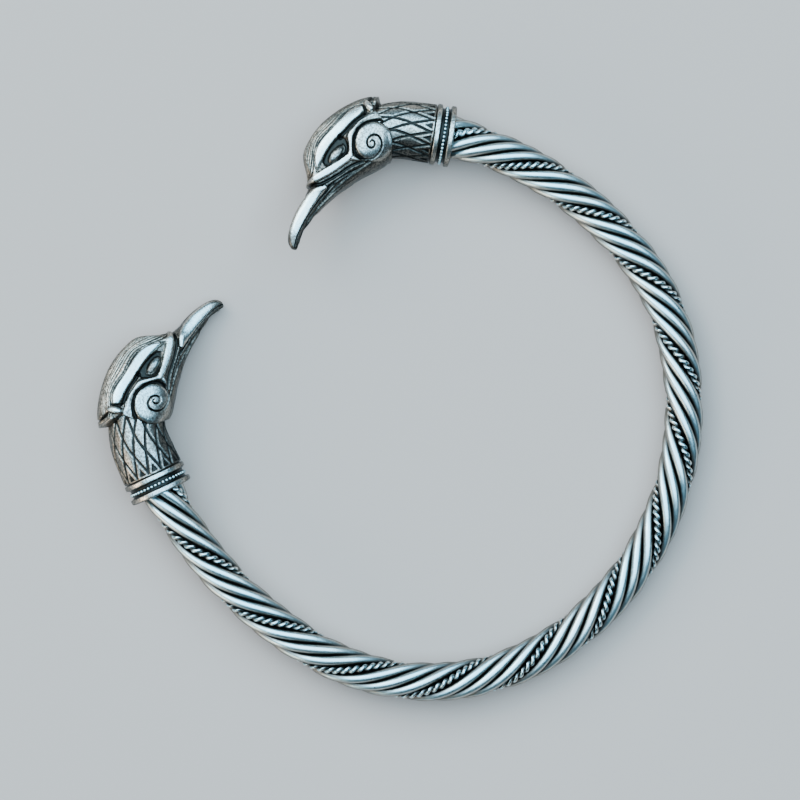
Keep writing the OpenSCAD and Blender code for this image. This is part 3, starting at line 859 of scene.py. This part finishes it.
def engraving(s, angle, offset):
    """Where the crossing lines and the small cuts between them are cut round the neck, 0 to 1."""
    count = (angle - math.radians(90 - offset)) / (2 * math.pi) * LOZENGES
    w = (s - LOZENGE_AT) / LOZENGE_L
    step = 2 * math.pi * ENGRAVED_R / LOZENGES
    away = np.minimum(*[np.abs(v - np.round(v)) * step * 0.95 for v in (count - w, count + w)])
    cut = groove(away, LINE_W) * fade(LINES_FROM, DARTS_FROM, s)
    # Small darts in the open ends between the lozenges
    middle = np.abs(count - np.round(count)) * step
    inside = np.minimum(DART_SLANT * (DARTS_TO - s) - middle, s - DARTS_FROM)
    return np.maximum(cut, 0.85 * fade(-0.04, 0.06, inside))


def cast_neck(offset, rubbed):
    """The rod of the cup, collar and neck, its order and grid of points, and its masks."""
    sides = 280
    start = COLLAR_FROM
    cup = [(CUP_DEPTH - 0.15, CUP_R), (1.2, CUP_R), (0.3, CUP_R), (start + 0.06, CUP_R),
           (start, CUP_R + 0.08)]
    collar = np.linspace(start, NECK_FROM, 48)
    rows = even_rows(NECK_STATIONS, 92)[1:]
    rings = len(cup) + len(collar) + len(rows) - 1
    bm = rod(sides, rings)
    order = rod_grid(bm, sides)
    angle = np.arange(sides) * 2 * math.pi / sides
    grid = np.zeros(order.shape + (3,))
    worn = np.zeros(order.shape)
    circle = np.stack([0 * angle, np.cos(angle), np.sin(angle)], -1)
    for k, (s, r) in enumerate(cup):
        grid[k] = circle * r + np.array([s, 0, 0])
    k = len(cup)
    worn[k - 1] = 0.8
    for j, s in enumerate(collar):
        r = float(collar_radius(s))
        grid[k + j] = circle * r + np.array([s, 0, 0])
        worn[k + j] = max(fade(3.46, 3.78, r) * 0.92, 0.8 * (s < RIDGE_AT[0]))
    k += len(collar)
    table = through(NECK_STATIONS, rows)
    spread_rows = np.broadcast_to(table[:, None, :], (len(rows), sides, 5))
    around = np.broadcast_to(angle, (len(rows), sides))
    plain = oval(spread_rows, around, 1.0)
    s = plain[..., 0]
    cut = engraving(s, around, offset)
    grid[k:] = plain
    normals = grid_normals(grid)
    grid[k:] -= normals[k:] * (LINE_DEEP * cut)[..., None]
    # The neck is painted darker on its inner side, towards the ring's middle, as shade, and warmer
    # on its outer side as a warm light; its engraved lines keep their dark patina
    worn[k:] = (rubbed - 0.36 * fade(0.05, 0.85, -np.cos(around))) * (1 - cut)
    warmth = 0.08 + 0.75 * np.broadcast_to(fade(0.35, 0.95, np.cos(angle)), worn.shape)
    return bm, order, grid, worn, warmth


def beads():
    """The ring of granules that lies in the collar's band."""
    bm = bmesh.new()
    for k in range(BEADS):
        turn = Matrix.Rotation(2 * math.pi * k / BEADS, 4, "X")
        place = turn @ Matrix.Translation((BAND_AT, COLLAR_D / 2 - BEADS_IN, 0))
        bmesh.ops.create_icosphere(bm, subdivisions=2, radius=BEAD_R, matrix=place)
    return bm


def unroll(order, values):
    """Values of a grid of rings by sides, in the order of the rod's vertices."""
    flat = np.zeros((order.size,) + values.shape[2:])
    flat[order.ravel()] = values.reshape((order.size,) + values.shape[2:])
    return flat


# How much more tarnish each casting keeps in its lower parts, and how much warmer its silver is
KEPT_TARNISH = {"right": 1.4, "left": 1.05}
WARMER = {"right": 0.30, "left": 0.12}


def finish_cast(bm, side, part, masks):
    finish_piece(bm, "cast_%s_%s" % (side, part), CAST_SILVER, [side + "_head"],
                 masks, flip=side == "right")


def cast_piece(made, side, part, least):
    """Places a rolled-out piece of one casting and finishes it."""
    bm, order, grid, worn, warmth = made
    placed = place_casting(grid.reshape(-1, 3), side).reshape(grid.shape)
    facing = grid_normals(placed)[..., 2] * (-1 if side == "right" else 1)
    # Steep flanks of the casting get painted shade and a painted warm side light
    dull = painted_flank_shade(worn ** KEPT_TARNISH[side], warmth, facing, least)
    masks = {name: unroll(order, values) for name, values in dull.items()}
    masks["warmth"] = masks["warmth"] + WARMER[side] * (1 - masks["warmth"])
    set_places(bm, unroll(order, placed))
    finish_cast(bm, side, part, masks)


# Of each casting: turn of the lozenges in degrees and how bright they are rubbed, how far the
# relief's rear lies forward, and how much longer the beak is
CASTINGS = {"right": (1.6, 0.87, 0.0, BEAK_LONGER), "left": (4.8, 0.77, 0.35, 0.0)}

for side, (offset, rubbed, lean, longer) in CASTINGS.items():
    cast_piece(cast_head(lean, longer), side, "head", least=0.62)
    cast_piece(cast_neck(offset, rubbed), side, "neck", least=0.48)
    bm = beads()
    co = np.array([v.co for v in bm.verts])
    out = np.hypot(co[:, 1], co[:, 2])
    set_places(bm, place_casting(co, side))
    finish_cast(bm, side, "beads", {"worn": fade(3.42, 3.60, out), "warmth": 0.1 + 0 * out})

# ---- Floor, light and camera ----
scene = bpy.context.scene
# Turn of the photograph from the frame's axes, the width that it shows at height FLAT, and how
# far its middle lies from the loop's
PHOTO_TURN = math.radians(49)
FRAME_W = 0.100
FLAT = 0.0035
ASIDE = Vector((-0.000625, 0.000625))
LENS = 250.0
SENSOR = 36.0
# The floor lies this far under the ring, so that the two never share a plane
FLOOR_LOW = 0.0003


def photo_place(x, y):
    """A place on the floor from one in the photograph's own directions."""
    c, s = math.cos(PHOTO_TURN), math.sin(PHOTO_TURN)
    return Vector((c * x + s * y, -s * x + c * y))


def pale_floor():
    bm = bmesh.new()
    bmesh.ops.create_grid(bm, x_segments=8, y_segments=8, size=1.5)
    mesh = bpy.data.meshes.new("floor")
    bm.to_mesh(mesh)
    bm.free()
    material = bpy.data.materials.new("pale_paper")
    material.use_nodes = True
    tree = material.node_tree
    shader = tree.nodes["Principled BSDF"]
    shader.inputs["Roughness"].default_value = 0.9
    shader.inputs["Specular IOR Level"].default_value = 0.2
    place = node(tree, "ShaderNodeTexCoord").outputs["Object"]
    colour = mix(tree, noise(tree, place, 6.0, 2.0), (0.40, 0.335, 0.315, 1),
                 (0.42, 0.352, 0.332, 1))
    tree.links.new(colour, shader.inputs["Base Color"])
    mesh.materials.append(material)
    floor = bpy.data.objects.new("floor", mesh)
    scene.collection.objects.link(floor)
    floor.location.z = -FLOOR_LOW


def softbox(name, x, y, high, size, power, colour):
    """A soft lamp at x, y in the photograph's directions, aimed at the middle of the ring."""
    light = bpy.data.lights.new(name, "AREA")
    light.shape = "RECTANGLE"
    light.size, light.size_y = size
    light.energy = power
    light.color = colour
    lamp = bpy.data.objects.new(name, light)
    scene.collection.objects.link(lamp)
    over = photo_place(x, y)
    place = Vector((over.x, over.y, high))
    lamp.location = place
    lamp.rotation_euler = (-place).to_track_quat("-Z", "Y").to_euler()


def studio():
    world = bpy.data.worlds.new("studio")
    world.use_nodes = True
    background = world.node_tree.nodes["Background"]
    background.inputs["Color"].default_value = (0.95, 0.97, 1.0, 1)
    background.inputs["Strength"].default_value = 0.08
    scene.world = world
    softbox("overhead", 0.0, 0.35, 1.2, (2.2, 1.9), 80, (0.54, 0.83, 1.0))
    softbox("key", -0.85, 0.65, 0.9, (0.9, 0.9), 16, (0.96, 0.96, 0.90))
    softbox("left_fill", -1.2, -0.6, 0.45, (1.0, 0.5), 9, (1.0, 0.87, 0.70))


def overhead_camera():
    camera = bpy.data.cameras.new("camera")
    camera.sensor_width = SENSOR
    camera.lens = LENS
    camera.clip_start, camera.clip_end = 0.05, 10.0
    away = FRAME_W * LENS / SENSOR
    eye = bpy.data.objects.new("camera", camera)
    scene.collection.objects.link(eye)
    over = photo_place(*ASIDE)
    eye.location = (over.x, over.y, FLAT + away)
    eye.rotation_euler = (0, 0, -PHOTO_TURN)
    scene.camera = eye


pale_floor()
studio()
overhead_camera()
